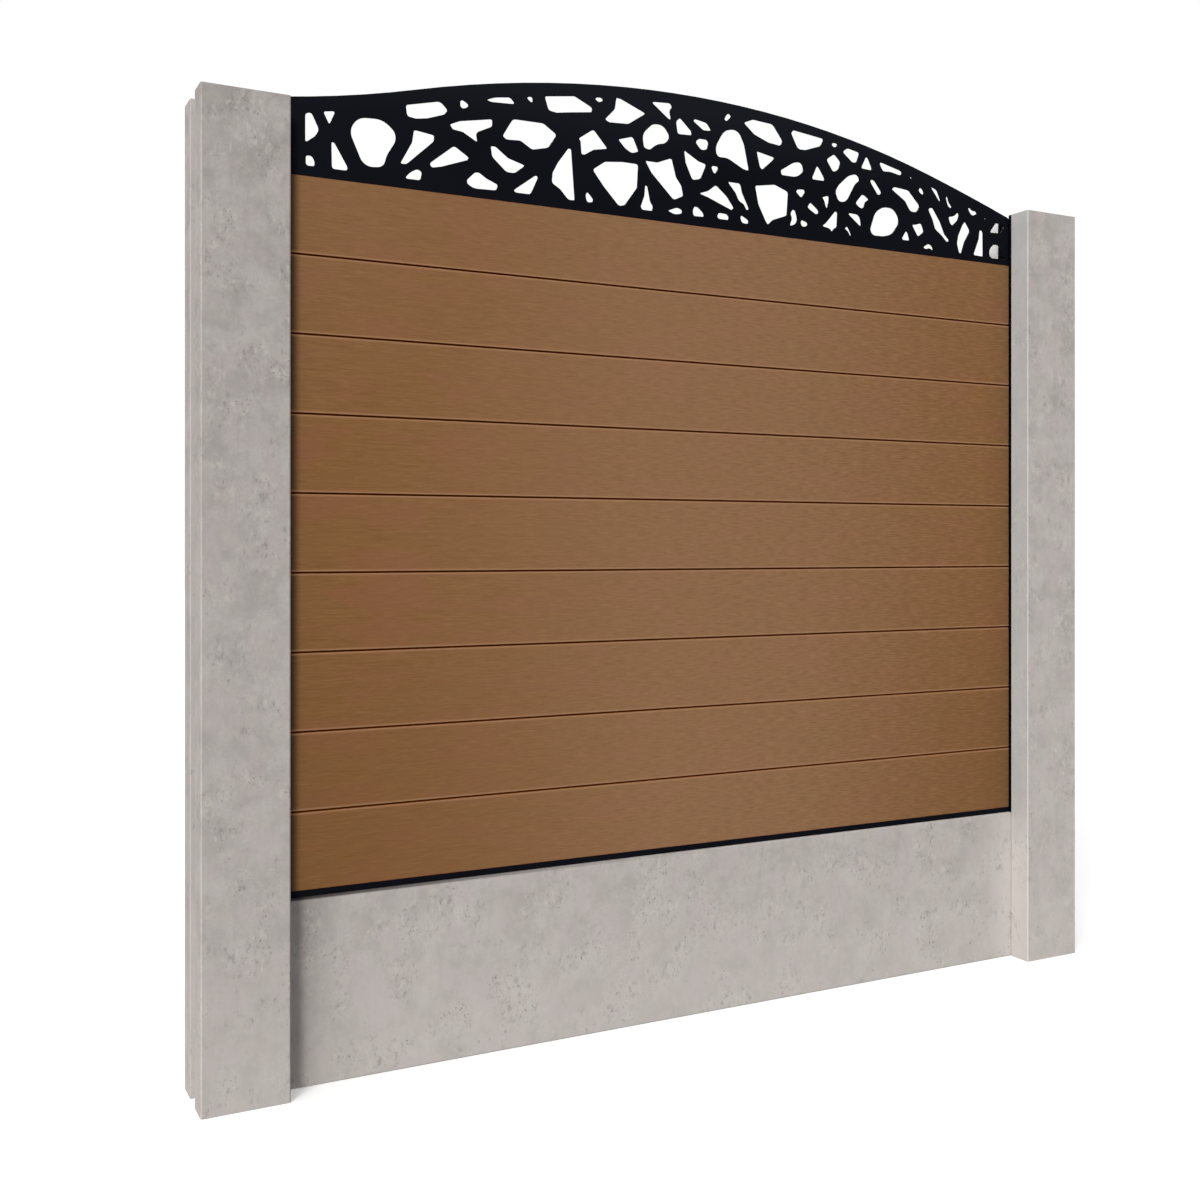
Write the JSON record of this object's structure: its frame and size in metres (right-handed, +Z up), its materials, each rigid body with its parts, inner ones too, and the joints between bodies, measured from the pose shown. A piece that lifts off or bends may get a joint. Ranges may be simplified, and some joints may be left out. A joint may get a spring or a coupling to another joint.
{
  "type": "composite fence panel",
  "caption": "Fence bay of slotted concrete posts, a concrete gravel board, brown tongue-and-groove composite boards in black metal rails and a pierced arched topper.",
  "frame": {"origin": "middle of the bay on the ground", "axes": "+X along the fence, to the right seen from the front; the front faces -Y; +Z up"},
  "size_m": [2.12, 0.16, 1.9965],
  "materials": {
    "concrete": "smooth cast",
    "composite": "brushed",
    "black_aluminium": "satin",
    "steel": "zinc plated"
  },
  "bodies": {
    "root": {"left_post": "concrete", "right_post": "concrete", "gravel_board": "concrete", "bottom_rail": "black_aluminium", "board_1": "composite", "board_2": "composite", "board_3": "composite", "board_4": "composite", "board_5": "composite", "board_6": "composite", "board_7": "composite", "board_8": "composite", "board_9": "composite", "top_rail": "black_aluminium", "topper": "black_aluminium", "left_channel": "black_aluminium", "right_channel": "black_aluminium", "left_packer": "black_aluminium", "right_packer": "black_aluminium", "channel_screws": "steel"}
  },
  "joints": []
}
